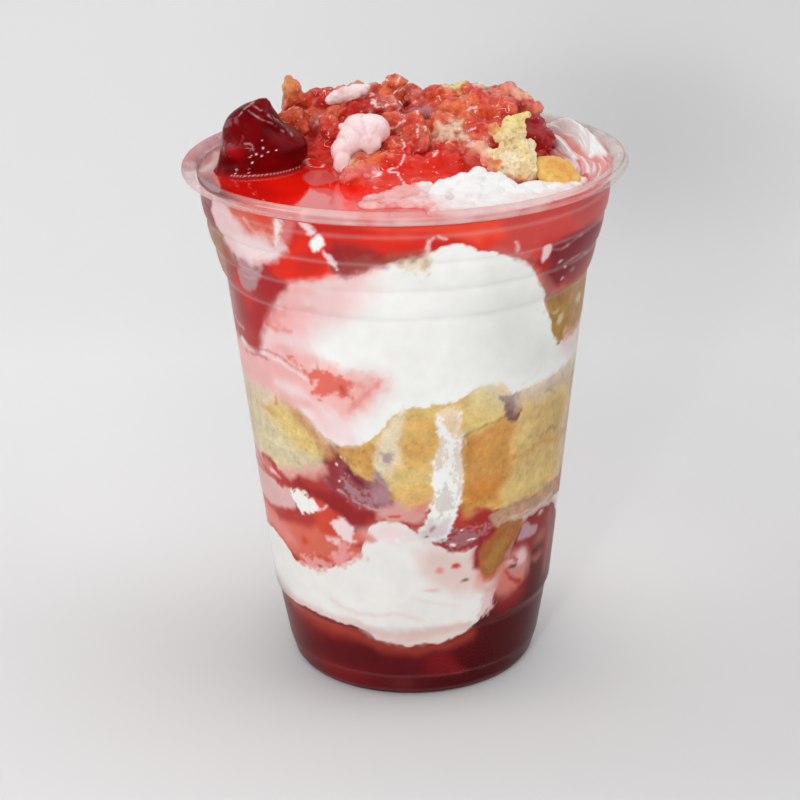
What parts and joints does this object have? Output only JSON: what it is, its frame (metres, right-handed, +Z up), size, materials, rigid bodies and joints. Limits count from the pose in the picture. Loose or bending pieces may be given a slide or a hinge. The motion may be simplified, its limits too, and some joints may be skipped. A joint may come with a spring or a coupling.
{
  "type": "strawberry shortcake trifle cup",
  "caption": "Clear plastic cup filled with layers of strawberry sauce, whipped cream and cake, topped with a glazed strawberry, soaked cake crumble and cream.",
  "frame": {"origin": "centre of the cup's foot, on the surface it stands on", "axes": "+Z up along the cup's axis, -Y towards the front of the picture, +X to its right"},
  "size_m": [0.098, 0.098, 0.1327],
  "materials": {
    "clear_plastic": "thin clear moulded plastic, glossy",
    "dark_sauce": "dark strawberry sauce",
    "red_sauce": "bright red strawberry glaze",
    "jam": "purple red berry jam with small bubbles",
    "white_cream": "whipped cream",
    "pink_cream": "whipped cream stained pink by the sauce",
    "cake": "golden sponge cake with orange brown crust",
    "plain_cake": "pale open cake crumb",
    "soaked_cake": "cake crumb soaked in red sauce, wet",
    "strawberry": "glazed dark strawberry, very glossy"
  },
  "bodies": {
    "root": {"cup": "clear_plastic", "bottom_sauce": "dark_sauce", "lower_cream": "white_cream", "middle_sauce": "red_sauce", "cake_left": "cake", "cake_centre": "cake", "cake_right": "cake", "cake_back": "cake", "upper_cream": "white_cream", "top_sauce": "red_sauce", "cream_drip": "white_cream", "jam_pocket": "jam", "pink_cream_left": "pink_cream", "cream_fleck": "white_cream", "small_cake": "cake", "cream_patch": "pink_cream", "upper_left_cake": "cake", "cream_smear": "pink_cream", "upper_right_cake": "cake", "crumb_heap": "soaked_cake", "strawberry": "strawberry", "back_dollop": "pink_cream", "front_dollop": "pink_cream", "plain_crumb": "plain_cake", "golden_wedge": "cake", "front_cream": "white_cream", "back_cream": "white_cream"}
  },
  "joints": []
}
